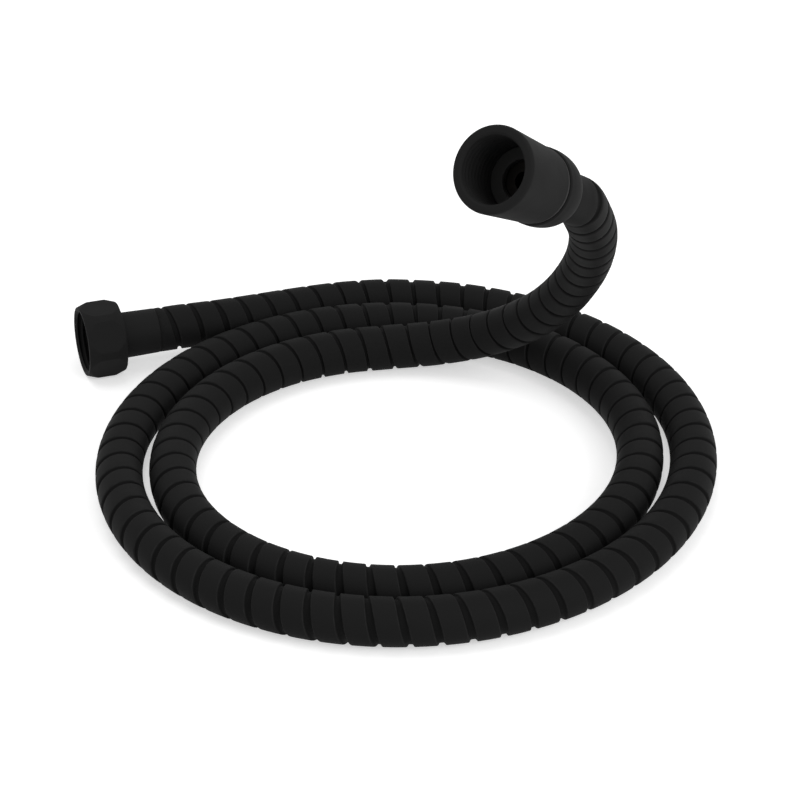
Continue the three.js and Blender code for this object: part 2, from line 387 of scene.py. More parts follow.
class Centreline:
    """The route by arc length, with a frame that doesn't twist along it."""

    SAMPLE_STEP = 0.5 * MM
    BEND_SAMPLES = 13  # how many samples a bend is averaged over

    def __init__(self, route: HoseRoute) -> None:
        """Samples the route and carries a frame along it.

        Args:
            route: The hose's route.
        """
        dense = route.spline()
        spans = np.linalg.norm(np.diff(dense, axis=0), axis=1)
        along = np.concatenate([[0.0], np.cumsum(spans)])
        self.length = float(along[-1])
        count = int(self.length / self.SAMPLE_STEP) + 1
        self.stations = np.linspace(0.0, self.length, count)
        self.points = np.stack([np.interp(self.stations, along, dense[:, k]) for k in range(3)], axis=1)
        self.tangents = np.gradient(self.points, self.stations, axis=0)
        self.tangents /= np.linalg.norm(self.tangents, axis=1)[:, None]
        self.tangents[0] = route.axis(HoseEnd.HEX)
        self.tangents[-1] = -route.axis(HoseEnd.CONE)
        self.normals = np.zeros_like(self.points)
        normal = np.array([0.0, 0.0, 1.0])
        for place, tangent in enumerate(self.tangents):
            normal = normal - tangent * normal.dot(tangent)
            normal = normal / np.linalg.norm(normal)
            self.normals[place] = normal
        self.binormals = np.cross(self.tangents, self.normals)
        bends = np.gradient(self.tangents, self.stations, axis=0)
        window = np.ones(self.BEND_SAMPLES) / self.BEND_SAMPLES
        self.bends = np.stack([np.convolve(bends[:, k], window, mode="same") for k in range(3)], axis=1)

    def at(self, table: np.ndarray, station: np.ndarray) -> np.ndarray:
        """Looks up one of the tables at these stations."""
        return np.stack([np.interp(station, self.stations, table[:, k]) for k in range(3)], axis=-1)

    def outward(self, station: np.ndarray, angle: np.ndarray) -> np.ndarray:
        """Finds the directions that point away from the centreline.

        Args:
            station: Arc length of each point.
            angle: Angle of each point round the hose.

        Returns:
            A unit vector for each point.
        """
        normal, binormal = self.at(self.normals, station), self.at(self.binormals, station)
        away = np.cos(angle)[..., None] * normal + np.sin(angle)[..., None] * binormal
        return away / np.linalg.norm(away, axis=-1)[..., None]

    def place(self, station: np.ndarray, angle: np.ndarray, radius: np.ndarray) -> np.ndarray:
        """Points in the row frame at these stations, angles and radii."""
        return self.at(self.points, station) + self.outward(station, angle) * radius[..., None]


@dataclass(frozen=True)
class Winding:
    """A skin that repeats along a right-handed helix, such as a wound strip or a thread."""

    pitch: float
    columns: int
    start: float
    end: float
    phase: float = 0.0

    def skin(
        self,
        sketch: Sketch,
        offsets: Sequence[float],
        place: Callable[..., np.ndarray],
        mark: Callable[..., np.ndarray] | None = None,
    ) -> tuple[list[int], list[int]]:
        """Adds the skin to a sketch. Its rows follow the helix, so that its edges stay clean.

        Args:
            sketch: The mesh that gets the skin.
            offsets: Rising distances within one pitch at which the skin has a row.
            place: Gives points for rows' stations, angles and offsets.
            mark: Gives the sketch's marks for rows' stations and offsets.

        Returns:
            The vertex numbers of the plain rings at the start and at the end.
        """
        angles = np.arange(self.columns) * 2 * math.pi / self.columns
        first = math.floor((self.start - self.phase) / self.pitch) - 2
        last = math.ceil((self.end - self.phase) / self.pitch) + 1
        turns = range(first, last + 1)
        rows = np.array([turn * self.pitch + offset for turn in turns for offset in offsets])
        kinds = np.array([offset for _ in turns for offset in offsets])
        stations = self.phase + rows[:, None] + self.pitch * angles[None, :] / (2 * math.pi)
        grid_angles = np.broadcast_to(angles, stations.shape)
        grid_kinds = np.broadcast_to(kinds[:, None], stations.shape)
        points = place(stations, grid_angles, grid_kinds)
        marks = mark(stations, grid_kinds) if mark else None
        flat = np.full(self.columns, math.nan)
        start_ring = sketch.ring(place(np.full(self.columns, self.start), angles, flat))
        end_ring = sketch.ring(place(np.full(self.columns, self.end), angles, flat))
        numbers = np.empty(stations.shape, dtype=int)
        for row in range(stations.shape[0]):
            for column in range(self.columns):
                if stations[row, column] <= self.start:
                    numbers[row, column] = start_ring[column]
                elif stations[row, column] >= self.end:
                    numbers[row, column] = end_ring[column]
                else:
                    numbers[row, column] = len(sketch.vertices)
                    if marks is not None:
                        sketch.marks[len(sketch.vertices)] = float(marks[row, column])
                    sketch.vertices.append(tuple(points[row, column]))
        turn_rows = len(offsets)
        for row in range(stations.shape[0] - turn_rows - 1):
            for column in range(self.columns):
                after = (column + 1) % self.columns
                ahead = row if after else row + turn_rows
                corners = (
                    numbers[row, column],
                    numbers[ahead, after],
                    numbers[ahead + 1, after],
                    numbers[row + 1, column],
                )
                distinct = tuple(dict.fromkeys(int(corner) for corner in corners))
                if len(distinct) > 2 and not set(distinct) <= set(start_ring) | set(end_ring):
                    sketch.faces.append(distinct)
        return start_ring, end_ring


# Finishes


class Substrate(Enum):
    """What the black coat lies on. Only the wound strip has a seam, with painted shade in it, and edges
    painted paler, as wear and as a highlight.
    """

    WOUND_STRIP = "wound_strip"
    TURNED_FITTING = "turned_fitting"


@dataclass(frozen=True)
class MattBlackCoat:
    """Baked matt black lacquer, on steel strip or on a turned brass fitting."""

    substrate: Substrate
    colour: str = "#1b1b1b"
    thin_colour: str = "#1f1f1f"
    # The seam colour is painted shade, darkening the groove's floor where the strip's walls shade it
    painted_seam_shade_colour: str = "#121212"
    # The edge colour is partly wear and partly a painted highlight on the groove's lips
    edge_wear_and_highlight_colour: str = "#272727"
    smoothest: float = 0.6
    roughest: float = 0.71
    ior: float = 1.12
    grain: float = 0.5 * MM
    grain_height: float = 0.03 * MM
    cloud: float = 14.0 * MM
    rubbed_patch: float = 2.5 * MM

    def material(self) -> bpy.types.Material:
        """Makes the material.

        Returns:
            A lacquer with cloudy sheen and a fine grain that breaks up its highlights.
        """
        # Silica in the lacquer mats it, so that it shows hardly any highlight. Its IOR is therefore
        # matched to the photograph, far below the 1.5 of a clear lacquer.
        material = new_material(f"matt_black_lacquer_on_{self.substrate.value}")
        tree = material.node_tree
        place = add_node(tree, "ShaderNodeTexCoord").outputs["Object"]
        clouds = add_node(
            tree,
            "ShaderNodeTexNoise",
            inputs={"Vector": place, "Scale": 1 / self.cloud, "Detail": 3.0},
        ).outputs["Fac"]
        # A real lacquer grain of about 0.1 mm would not show, so it is drawn at half a millimetre
        grain = add_node(
            tree,
            "ShaderNodeTexNoise",
            inputs={"Vector": place, "Scale": 1 / self.grain, "Detail": 2.0, "Roughness": 0.6},
        ).outputs["Fac"]
        colour = add_node(
            tree,
            "ShaderNodeMix",
            {"data_type": "RGBA"},
            {"Factor": clouds, 6: linear(self.colour), 7: linear(self.thin_colour)},
        ).outputs[2]
        if self.substrate is Substrate.WOUND_STRIP:
            colour = self.strip_colour(tree, place, colour)
        sheen = add_node(
            tree,
            "ShaderNodeMapRange",
            inputs={
                "Value": clouds,
                "From Min": 0.3,
                "From Max": 0.7,
                "To Min": self.smoothest,
                "To Max": self.roughest,
            },
        ).outputs["Result"]
        bump = add_node(
            tree,
            "ShaderNodeBump",
            inputs={"Strength": 0.25, "Distance": self.grain_height, "Height": grain},
        ).outputs["Normal"]
        shader = add_node(
            tree,
            "ShaderNodeBsdfPrincipled",
            inputs={"Base Color": colour, "Roughness": sheen, "IOR": self.ior, "Normal": bump},
        )
        add_node(tree, "ShaderNodeOutputMaterial", inputs={"Surface": shader.outputs["BSDF"]})
        return material

    def strip_colour(
        self, tree: bpy.types.NodeTree, place: bpy.types.NodeSocket, colour: bpy.types.NodeSocket
    ) -> bpy.types.NodeSocket:
        """Paints the strip's edges paler in patches, partly as wear and partly as a highlight on the
        groove's lips, and paints shade dark into its seam.

        Args:
            tree: The material's node tree.
            place: Coordinates on the hose.
            colour: The colour of the open strip.

        Returns:
            The colour of the whole strip.
        """
        seam = add_node(tree, "ShaderNodeAttribute", {"attribute_name": SEAM}).outputs["Fac"]
        patches = add_node(
            tree,
            "ShaderNodeTexNoise",
            inputs={"Vector": place, "Scale": 1 / self.rubbed_patch, "Detail": 2.0},
        ).outputs["Fac"]
        wear_and_highlight_strength = add_node(
            tree,
            "ShaderNodeMapRange",
            inputs={"Value": patches, "From Min": 0.3, "From Max": 0.6, "To Min": 0.25, "To Max": 1.0},
        ).outputs["Result"]
        # Paler strip edges at the groove's lips: patches of wear, and a painted highlight along the
        # whole lip
        edge = add_node(
            tree,
            "ShaderNodeMapRange",
            inputs={"Value": seam, "From Max": 0.05, "To Max": wear_and_highlight_strength},
        ).outputs["Result"]
        # Painted shade: the colour darkens down into the seam, towards the groove's floor
        painted_seam_shade = add_node(
            tree,
            "ShaderNodeMapRange",
            inputs={"Value": seam, "From Min": 0.1, "From Max": 0.6},
        ).outputs["Result"]
        for share, shade in ((edge, self.edge_wear_and_highlight_colour), (painted_seam_shade, self.painted_seam_shade_colour)):
            colour = add_node(
                tree,
                "ShaderNodeMix",
                {"data_type": "RGBA"},
                {"Factor": share, 6: colour, 7: linear(shade)},
            ).outputs[2]
        return colour


@dataclass(frozen=True)
class MouldedRubber:
    """Black EPDM rubber, moulded as a washer or extruded as a hose."""

    name: str
    colour: str = "#131313"
    bloom_colour: str = "#1d1d1c"
    roughness: float = 0.78
    ior: float = 1.5
    bloom_patch: float = 3.0 * MM
    texture_width: float = 0.3 * MM
    texture_height: float = 0.04 * MM

    def material(self) -> bpy.types.Material:
        """Makes the material.

        Returns:
            A dull rubber with a faint paler bloom and a fine mould texture.
        """
        # EPDM scatters light in a broad soft lobe and shows a dusty bloom
        material = new_material(self.name)
        tree = material.node_tree
        place = add_node(tree, "ShaderNodeTexCoord").outputs["Object"]
        bloom = add_node(
            tree,
            "ShaderNodeTexNoise",
            inputs={"Vector": place, "Scale": 1 / self.bloom_patch, "Detail": 5.0, "Roughness": 0.7},
        ).outputs["Fac"]
        texture = add_node(
            tree,
            "ShaderNodeTexNoise",
            inputs={"Vector": place, "Scale": 1 / self.texture_width, "Detail": 2.0},
        ).outputs["Fac"]
        colour = add_node(
            tree,
            "ShaderNodeMix",
            {"data_type": "RGBA"},
            {"Factor": bloom, 6: linear(self.colour), 7: linear(self.bloom_colour)},
        ).outputs[2]
        bump = add_node(
            tree,
            "ShaderNodeBump",
            inputs={"Strength": 0.4, "Distance": self.texture_height, "Height": texture},
        ).outputs["Normal"]
        shader = add_node(
            tree,
            "ShaderNodeBsdfPrincipled",
            inputs={"Base Color": colour, "Roughness": self.roughness, "IOR": self.ior, "Normal": bump},
        )
        add_node(tree, "ShaderNodeOutputMaterial", inputs={"Surface": shader.outputs["BSDF"]})
        return material


@dataclass(frozen=True)
class BlackenedBrass:
    """Turned brass under a thin black plating, with the tool marks left in it."""

    colour: str = "#191817"
    worn_colour: str = "#242220"
    roughness: float = 0.42
    worn_patch: float = 2.5 * MM
    tool_mark: float = 0.35 * MM
    tool_mark_depth: float = 0.02 * MM

    def material(self) -> bpy.types.Material:
        """Makes the material.

        Returns:
            A dark metal with fine tool marks and slightly worn patches.
        """
        # Black plating keeps the metal's tinted reflection, broken up by the lathe tool's marks
        material = new_material("blackened_turned_brass")
        tree = material.node_tree
        place = add_node(tree, "ShaderNodeTexCoord").outputs["Object"]
        wear = add_node(
            tree,
            "ShaderNodeTexNoise",
            inputs={"Vector": place, "Scale": 1 / self.worn_patch, "Detail": 4.0},
        ).outputs["Fac"]
        marks = add_node(
            tree,
            "ShaderNodeTexNoise",
            inputs={"Vector": place, "Scale": 1 / self.tool_mark, "Detail": 1.0},
        ).outputs["Fac"]
        colour = add_node(
            tree,
            "ShaderNodeMix",
            {"data_type": "RGBA"},
            {"Factor": wear, 6: linear(self.colour), 7: linear(self.worn_colour)},
        ).outputs[2]
        bump = add_node(
            tree,
            "ShaderNodeBump",
            inputs={"Strength": 0.3, "Distance": self.tool_mark_depth, "Height": marks},
        ).outputs["Normal"]
        shader = add_node(
            tree,
            "ShaderNodeBsdfPrincipled",
            inputs={"Base Color": colour, "Metallic": 1.0, "Roughness": self.roughness, "Normal": bump},
        )
        add_node(tree, "ShaderNodeOutputMaterial", inputs={"Surface": shader.outputs["BSDF"]})
        return material


@dataclass(frozen=True)
class MouldedAcetal:
    """Black acetal, moulded, which the slip ring is made of."""

    colour: str = "#151515"
    flow_colour: str = "#1b1b1b"
    roughness: float = 0.55
    ior: float = 1.48
    flow_width: float = 4.0 * MM

    def material(self) -> bpy.types.Material:
        """Makes the material.

        Returns:
            A slightly waxy black plastic with faint flow marks.
        """
        # Acetal is waxy: low gloss, and no grain but the flow of the moulding
        material = new_material("moulded_black_acetal")
        tree = material.node_tree
        place = add_node(tree, "ShaderNodeTexCoord").outputs["Object"]
        flow = add_node(
            tree,
            "ShaderNodeTexNoise",
            inputs={"Vector": place, "Scale": 1 / self.flow_width, "Detail": 2.0, "Distortion": 1.5},
        ).outputs["Fac"]
        colour = add_node(
            tree,
            "ShaderNodeMix",
            {"data_type": "RGBA"},
            {"Factor": flow, 6: linear(self.colour), 7: linear(self.flow_colour)},
        ).outputs[2]
        shader = add_node(
            tree,
            "ShaderNodeBsdfPrincipled",
            inputs={"Base Color": colour, "Roughness": self.roughness, "IOR": self.ior},
        )
        add_node(tree, "ShaderNodeOutputMaterial", inputs={"Surface": shader.outputs["BSDF"]})
        return material


@dataclass(frozen=True)
class SeamlessPaper:
    """White seamless paper, the floor and background of a product photograph."""

    colour: str = "#f2f2f2"
    glow: float = 0.52

    def material(self) -> bpy.types.Material:
        """Makes the material.

        Returns:
            Matt white paper that reads as white to the view and to reflections.
        """
        # Matt paper stock has no highlight of its own and takes soft shadows
        material = new_material("seamless_white_paper")
        tree = material.node_tree
        strength = add_node(
            tree, "ShaderNodeMath", {"operation": "MULTIPLY"}, {0: seen_directly(tree), 1: self.glow}
        ).outputs[0]
        paper = add_node(tree, "ShaderNodeBsdfDiffuse", inputs={"Color": linear(self.colour)})
        white = add_node(tree, "ShaderNodeEmission", inputs={"Color": WHITE, "Strength": strength})
        both = add_node(tree, "ShaderNodeAddShader", inputs={0: paper.outputs[0], 1: white.outputs[0]})
        add_node(tree, "ShaderNodeOutputMaterial", inputs={"Surface": both.outputs[0]})
        return material


# The hose


@dataclass(frozen=True)
class Casing:
    """The wound steel strip outside the hose, with one groove a turn.

    Its grooves start right behind the hexagonal end's ferrule, and leave a plain cuff at the
    conical end. On the inside of a bend a band may take no more than the widest band's share of
    the pitch. The slack lists how far the turns have slid along the hose, as pairs of a place and
    a shift in millimetres, seen in the photograph.
    """

    centreline: Centreline
    radius: float = 7.0 * MM
    strip_pitch: float = 8.43 * MM
    groove_width: float = 2.0 * MM
    groove_floor: float = 1.0 * MM
    groove_depth: float = 0.8 * MM
    groove_run_out: float = 1.2 * MM
    edge_round: float = 0.16 * MM
    widest_band: float = 0.96
    columns: int = 40
    hex_cuff: float = 0.6 * MM
    cone_cuff: float = 11.3 * MM
    first_groove: float = 2.45 * MM
    end_sink: float = 0.06 * MM
    socket_depth: float = 6.0 * MM
    socket_radius: float = 6.3 * MM
    socket_step: float = 0.1 * MM
    lining_radius: float = 5.62 * MM
    lining_rings: int = 150
    slack: tuple[tuple[float, float], ...] = (
        (0.0, 1.0),
        (28.0, -0.5),
        (65.0, 0.5),
        (150.0, -1.5),
        (250.0, 0.0),
        (350.0, 1.5),
        (460.0, 0.0),
        (560.0, 2.0),
        (705.0, -0.5),
        (840.0, 2.0),
        (920.0, 1.0),
        (1030.0, 2.5),
        (1120.0, -1.5),
        (1150.0, -1.5),
        (1210.0, 2.0),
        (1252.0, 2.5),
    )

    def winding(self) -> Winding:
        """The helix of the strip, with its first groove where the photograph shows it."""
        return Winding(self.strip_pitch, self.columns, 0.0, self.centreline.length, self.first_groove)

    def slid(self, station: np.ndarray) -> np.ndarray:
        """Moves nominal stations to where the turns of strip have slid along the hose."""
        places, shifts = np.array(self.slack).T * MM
        return station + np.interp(station, places, shifts)

    def groove(self) -> list[tuple[float, float]]:
        """Draws one half of the groove's section.

        Returns:
            Distances from the groove's middle, each with the share of the full depth there.
        """
        half, floor, edge = self.groove_width / 2, self.groove_floor / 2, self.edge_round
        return [
            (0.0, 1.0),
            (floor, 0.97),
            ((floor + half) / 2, 0.62),
            (half - edge * 0.35, 0.13),
            (half + edge * 0.5, 0.02),
            (half + edge * 1.8, 0.0),
        ]

    def offsets(self) -> list[float]:
        """Works out the rows within one pitch.

        Returns:
            Rising distances, from the middle of one groove to just before the next.
        """
        wall = [reach for reach, _ in self.groove()[1:]]
        band = [self.strip_pitch * share for share in (0.38, 0.5, 0.62)]
        return [0.0, *wall, *band, *(self.strip_pitch - reach for reach in reversed(wall))]

    def depth(self, offset: np.ndarray) -> np.ndarray:
        """Works out how deep the groove is.

        Args:
            offset: Distance past the middle of the last groove.

        Returns:
            The depth at each distance.
        """
        reaches, shares = zip(*self.groove())
        from_groove = np.minimum(offset, self.strip_pitch - offset)
        return self.groove_depth * np.interp(from_groove, reaches, shares)

    def seam(self, station: np.ndarray, offset: np.ndarray) -> np.ndarray:
        """How deep in the seam each point lies: 1 on the groove's floor and 0 on the bands."""
        return self.depth(offset) / self.groove_depth * self.fade(self.slid(station))

    def fade(self, station: np.ndarray) -> np.ndarray:
        """Lets the grooves run out at both ends.

        Args:
            station: Arc length of each point.

        Returns:
            1 where the strip is grooved and 0 where it is plain.
        """
        run_out = self.groove_run_out
        from_hex = (station - self.hex_cuff + run_out) / run_out
        from_cone = (self.centreline.length - self.cone_cuff + run_out - station) / run_out
        grown = np.clip(np.minimum(from_hex, from_cone), 0.0, 1.0)
        return grown * grown * (3 - 2 * grown)

    def place(self, station: np.ndarray, angle: np.ndarray, offset: np.ndarray) -> np.ndarray:
        """Points of the strip. Its bands keep their width in a bend, and its grooves give.

        Args:
            station: Nominal arc length of each point.
            angle: Angle of each point round the hose.
            offset: Distance from the middle of the groove, or NaN for a plain end ring.

        Returns:
            Points in the row frame.
        """
        plain = np.isnan(offset)
        kept = np.clip(np.where(plain, station, self.slid(station)), 0.0, self.centreline.length)
        away = self.centreline.outward(kept, angle)
        bend = self.centreline.at(self.centreline.bends, kept)
        stretch = 1 - self.radius * np.sum(away * bend, axis=-1)
        half_pitch = self.strip_pitch / 2
        from_middle = np.where(plain, 0.0, offset) - half_pitch
        band = (self.strip_pitch - self.groove_width) / 2
        edge = np.minimum(band / stretch, self.widest_band * half_pitch)
        in_groove = (np.abs(from_middle) - band) / (half_pitch - band)
        on_groove = np.sign(from_middle) * (edge + in_groove * (half_pitch - edge))
        moved = np.where(np.abs(from_middle) <= band, from_middle / stretch, on_groove)
        shift = np.where(plain, 0.0, (moved - from_middle) * self.fade(kept))
        there = np.clip(kept + shift, 0.0, self.centreline.length)
        grooved = self.depth(np.where(plain, 0.0, offset)) * self.fade(kept)
        sunk = np.where(plain, self.end_sink, grooved)
        return self.centreline.place(there, angle, self.radius - sunk)

    def lining(self, sketch: Sketch) -> list[list[int]]:
        """Adds the casing's inner wall, which is wider where the ferrules go in.

        Args:
            sketch: The casing's mesh.

        Returns:
            The vertex numbers of its rings, from the hexagonal end to the conical end.
        """
        angles = np.arange(self.columns) * 2 * math.pi / self.columns
        length, socket = self.centreline.length, self.socket_depth
        step = self.socket_step
        inner = np.linspace(socket + step, length - socket - step, self.lining_rings)
        stops = [
            (0.0, self.socket_radius),
            (socket, self.socket_radius),
            *((station, self.lining_radius) for station in inner),
            (length - socket, self.socket_radius),
            (length, self.socket_radius),
        ]
        rings = []
        for station, radius in stops:
            where, reach = np.full(self.columns, station), np.full(self.columns, radius)
            rings.append(sketch.ring(self.centreline.place(where, angles, reach)))
        return rings

    def build(self, material: bpy.types.Material) -> bpy.types.Object:
        """Makes the casing as one closed tube.

        Args:
            material: The strip's finish.

        Returns:
            The casing.
        """
        sketch = Sketch("stripwound_casing")
        start_ring, end_ring = self.winding().skin(sketch, self.offsets(), self.place, self.seam)
        sketch.bridge_all([end_ring, *reversed(self.lining(sketch)), start_ring])
        return sketch.to_object(material, weighted=False)


# The fittings


@dataclass(frozen=True)
class Placement:
    """Where a fitting lies: its axis runs from the mouth of its nut into the hose."""

    mouth: Vector
    axis: Vector

    def matrix(self) -> Matrix:
        """Works out the fitting's own frame.

        Returns:
            A matrix with +Z along the fitting's axis, and +X as near up as that allows.
        """
        along = self.axis.normalized()
        up = Vector((0.0, 0.0, 1.0))
        across = (up - along * up.dot(along)).normalized()
        turned = Matrix((across, along.cross(across), along)).transposed().to_4x4()
        return Matrix.Translation(self.mouth) @ turned


def local_ring(
    sketch: Sketch,
    matrix: Matrix,
    angles: np.ndarray,
    station: float | np.ndarray,
    radius: float | np.ndarray,
) -> list[int]:
    """Adds a ring of a turned piece.

    Args:
        sketch: The mesh that gets the ring.
        matrix: The fitting's place.
        angles: Column angles.
        station: One distance along the axis, or one for each column.
        radius: One radius, or one for each column.

    Returns:
        The new vertices' numbers.
    """
    along = np.broadcast_to(np.asarray(station, dtype=float), angles.shape)
    reach = np.broadcast_to(np.asarray(radius, dtype=float), angles.shape)
    across, up = reach * np.cos(angles), reach * np.sin(angles)
    local = np.stack([across, up, along, np.ones_like(angles)], axis=1)
    return sketch.ring((local @ np.array(matrix).T)[:, :3])


@dataclass(frozen=True)
class ThreadedSocket:
    """A G1/2 internal thread, with its entry.

    The section lists half a thread from the middle of its groove, as shares of the pitch and of
    the thread's depth. The rows are where the skin has edges, as shares of the pitch.
    """

    crest_radius: float = 9.315 * MM
    root_radius: float = 10.42 * MM
    thread_pitch: float = 1.814 * MM
    section: tuple[tuple[float, float], ...] = ((0.0, 1.0), (0.07, 0.97), (0.42, 0.02), (0.5, 0.0))
    rows: tuple[float, ...] = (0.0, 0.07, 0.245, 0.42, 0.5, 0.58, 0.755, 0.93)
    fade_length: float = 0.8 * MM
    entry_radius: float = 9.9 * MM
    entry_depth: float = 0.7 * MM
    run_out: float = 0.5 * MM
    columns: int = 132

    def place(
        self, angles: np.ndarray, start: float, end: float, matrix: Matrix
    ) -> Callable[..., np.ndarray]:
        """Makes the function that places the thread's skin.

        Args:
            angles: The nut's column angles, which the skin's even ones stand for.
            start: Where the thread begins.
            end: Where it runs out.
            matrix: The fitting's place.

        Returns:
            A function of stations, angles and offsets that gives points.
        """
        turned = np.array(matrix)
        shares, depths = zip(*self.section)

        def points(station: np.ndarray, angle: np.ndarray, offset: np.ndarray) -> np.ndarray:
            """Places the skin's points.

            Args:
                station: Distance of each point along the axis.
                angle: Its even angle.
                offset: Its distance past the middle of the last groove, or NaN for an end ring.

            Returns:
                Points in the row frame.
            """
            reach = np.minimum(offset, self.thread_pitch - offset) / self.thread_pitch
            share = np.interp(np.nan_to_num(reach), shares, depths)
            grown = np.clip(np.minimum(station - start, end - station) / self.fade_length, 0.0, 1.0)
            radius = self.crest_radius + (self.root_radius - self.crest_radius) * share * grown
            radius = np.where(np.isnan(offset), self.crest_radius, radius)
            turn = np.interp(angle, np.arange(self.columns) * 2 * math.pi / self.columns, angles)
            kept = np.clip(station, start, end)
            across, up = radius * np.cos(turn), radius * np.sin(turn)
            local = np.stack([across, up, kept, np.ones_like(kept)], axis=-1)
            return (local @ turned.T)[..., :3]

        return points

    def cut(
        self, sketch: Sketch, angles: np.ndarray, end: float, matrix: Matrix
    ) -> tuple[list[int], list[int]]:
        """Adds the thread to a nut.

        Args:
            sketch: The nut's mesh.
            angles: The nut's column angles.
            end: Where the thread runs out.
            matrix: The fitting's place.

        Returns:
            The vertex numbers of the rings at its start and at its end.
        """
        winding = Winding(self.thread_pitch, len(angles), self.entry_depth, end)
        offsets = [self.thread_pitch * share for share in self.rows]
        return winding.skin(sketch, offsets, self.place(angles, self.entry_depth, end, matrix))


def turned_piece(
    name: str,
    profile: Sequence[tuple[float, float]],
    matrix: Matrix,
    material: bpy.types.Material,
    fillet: float,
    columns: int = 112,
) -> bpy.types.Object:
    """Makes a closed turned piece with rounded edges.

    Args:
        name: The piece's name.
        profile: Corners as (station, radius), going round the section with the outside rising.
        matrix: The fitting's place.
        material: The piece's finish.
        fillet: Rounding of its edges.
        columns: Faces round it.

    Returns:
        The new piece.
    """
    sketch = Sketch(name)
    angles = np.arange(columns) * 2 * math.pi / columns
    rings = [local_ring(sketch, matrix, angles, *point) for point in filleted(profile, fillet)]
    sketch.bridge_all(rings, closed=True)
    return sketch.to_object(material)


@dataclass(frozen=True)
class UnionNut:
    """What both union nuts have: a threaded socket, and a lip that holds the insert's flange."""

    placement: Placement
    socket: ThreadedSocket = ThreadedSocket()
    length: float = 12.2 * MM
    seat_depth: float = 9.9 * MM
    lip_bore: float = 6.9 * MM
    edge: float = 0.16 * MM

    def close(
        self,
        sketch: Sketch,
        angles: np.ndarray,
        outside: Sequence[tuple[float | np.ndarray, float | np.ndarray]],
    ) -> None:
        """Adds the outside, the lip, the thread and its entry, and joins them to one solid.

        Args:
            sketch: The nut's mesh.
            angles: Column angles.
            outside: Stations and radii, from the mouth's face along the outside to the rear.
        """
        matrix = self.placement.matrix()
        edge, entry = self.edge, self.socket.entry_radius
        lip = [
            (self.length, self.lip_bore + edge),
            (self.length - edge, self.lip_bore),
            (self.seat_depth + edge, self.lip_bore),
            (self.seat_depth, self.lip_bore + edge),
            (self.seat_depth, self.socket.crest_radius),
        ]
        mouth = [(edge * 0.7, entry - edge * 0.6), (edge * 0.15, entry + edge * 0.2)]
        rings = [local_ring(sketch, matrix, angles, *stop) for stop in [*outside, *lip]]
        thread_end = self.seat_depth - self.socket.run_out
        first, last = self.socket.cut(sketch, angles, thread_end, matrix)
        mouth_rings = [local_ring(sketch, matrix, angles, *stop) for stop in mouth]
        sketch.bridge_all([first, *mouth_rings, *rings, last])


@dataclass(frozen=True)
class HexNut(UnionNut):
    """The hexagonal union nut, turned down at its corners and chamfered at both faces.

    The half side lists where one half of a flat has columns, in degrees from the flat's middle.
    """

    across_flats: float = 22.0 * MM
    corner_radius: float = 12.05 * MM
    chamfer_width: float = 1.15 * MM
    chamfer_length: float = 3.3 * MM
    corner_drop: float = 0.02 * MM
    half_side: tuple[float, ...] = (4, 8, 12, 16, 20, 23, 23.7, 24.5, 25.2, 27)

    def angles(self) -> np.ndarray:
        """Works out the columns, which are closer together where a flat meets a turned corner.

        Returns:
            Their angles, in radians.
        """
        sector = [-30, *(-angle for angle in reversed(self.half_side)), 0, *self.half_side]
        return np.radians([side * 60.0 + angle for side in range(6) for angle in sector])

    def outline(self, angles: np.ndarray) -> np.ndarray:
        """Finds the nut's side.

        Args:
            angles: Column angles.

        Returns:
            The side's distance from the axis at each angle.
        """
        from_flat = (np.degrees(angles) + 30.0) % 60.0 - 30.0
        return np.minimum(self.across_flats / 2 / np.cos(np.radians(from_flat)), self.corner_radius)

    def build(self, material: bpy.types.Material) -> bpy.types.Object:
        """Makes the nut.

        Args:
            material: The nut's finish.

        Returns:
            The new piece.
        """
        sketch = Sketch("hexagonal_union_nut")
        angles = self.angles()
        side = self.outline(angles)
        face = self.corner_radius - self.chamfer_width
        slope = self.chamfer_length / self.chamfer_width
        reach = (side - face) * slope
        blend = np.minimum(self.edge, reach * 0.3)
        near = [
            (0.0, self.socket.entry_radius + self.edge),
            (0.0, face - self.edge),
            (blend * 0.3, face - self.edge * 0.1),
            (blend, face + blend / slope),
            (reach - blend, side - blend / slope),
            (reach + self.edge * 0.2, side - self.corner_drop),
            (reach + self.edge * 1.6, side),
        ]
        middle = [(self.length * share, side) for share in (0.3, 0.5, 0.7)]
        far = [(self.length - station, radius) for station, radius in reversed(near[1:])]
        self.close(sketch, angles, near + middle + far)
        return sketch.to_object(material)


@dataclass(frozen=True)
class ConeNut(UnionNut):
    """The long conical union nut, with a rounded edge at its mouth."""

    length: float = 24.0 * MM
    seat_depth: float = 20.7 * MM
    edge: float = 0.2 * MM
    mouth_radius: float = 12.05 * MM
    tail_radius: float = 10.65 * MM
    mouth_round: float = 1.1 * MM
    mouth_steps: int = 8
    tail_chamfer: float = 0.2 * MM
    side_rings: tuple[float, ...] = (1.6 * MM, 6.0 * MM, 12.0 * MM, 18.0 * MM)

    def build(self, material: bpy.types.Material) -> bpy.types.Object:
        """Makes the nut.

        Args:
            material: The nut's finish.

        Returns:
            The new piece.
        """
        sketch = Sketch("conical_union_nut")
        angles = np.arange(self.socket.columns) * 2 * math.pi / self.socket.columns
        curve = []
        for step in range(self.mouth_steps + 1):
            t = step / self.mouth_steps
            drop = self.mouth_round * (1 - t) ** 2
            curve.append((self.mouth_round * t**2, self.mouth_radius - drop))
        taper = (self.tail_radius - self.mouth_radius) / (self.length - self.mouth_round)
        chamfer = self.tail_chamfer
        side = [
            (station, self.mouth_radius + taper * (station - self.mouth_round))
            for station in (*self.side_rings, self.length - chamfer * 1.4)
        ]
        rear = [
            (self.length - chamfer * 0.5, self.tail_radius - chamfer * 0.15),
            (self.length - chamfer * 0.1, self.tail_radius - chamfer * 0.6),
            (self.length, self.tail_radius - chamfer * 1.3),
        ]
        mouth = (0.0, self.socket.entry_radius + self.edge)
        self.close(sketch, angles, [mouth, *curve, *side, *rear])
        return sketch.to_object(material)


